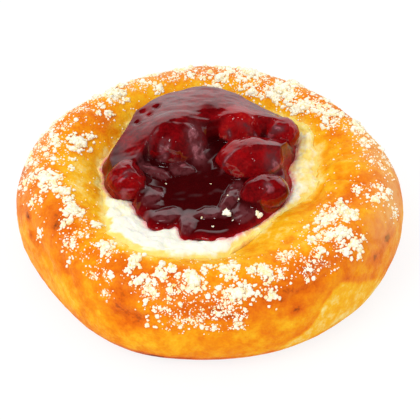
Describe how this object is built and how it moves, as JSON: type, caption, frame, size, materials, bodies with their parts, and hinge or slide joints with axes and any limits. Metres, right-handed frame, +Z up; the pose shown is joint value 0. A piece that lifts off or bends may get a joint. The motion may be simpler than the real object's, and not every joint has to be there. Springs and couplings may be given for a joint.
{
  "type": "vatrushka",
  "caption": "Round sweet yeast bun with a raised ring round a curd filling, a heap of whole cherries in thick cherry sauce, and streusel crumbs on the crust.",
  "frame": {"origin": "middle of the bun's flat base, where it rests", "axes": "+Z up, towards the cherries; -Y towards the side where most of the curd shows; +X to the right seen from there"},
  "size_m": [0.1194, 0.1154, 0.0403],
  "materials": {
    "crust": "golden baked crust with a thin glaze, browned on the crest, with pale streusel crumbs",
    "curd": "moist, lumpy, cream white",
    "sauce": "thick wet sauce, near black where deep, wine red where thin",
    "cherry": "soft whole fruit, wet and dark red"
  },
  "bodies": {
    "root": {"dough": "crust", "curd": "curd", "sauce": "sauce", "cherry_1": "cherry", "cherry_2": "cherry", "cherry_3": "cherry", "cherry_4": "cherry", "cherry_5": "cherry", "cherry_6": "cherry", "cherry_7": "cherry", "cherry_8": "cherry"}
  },
  "joints": []
}
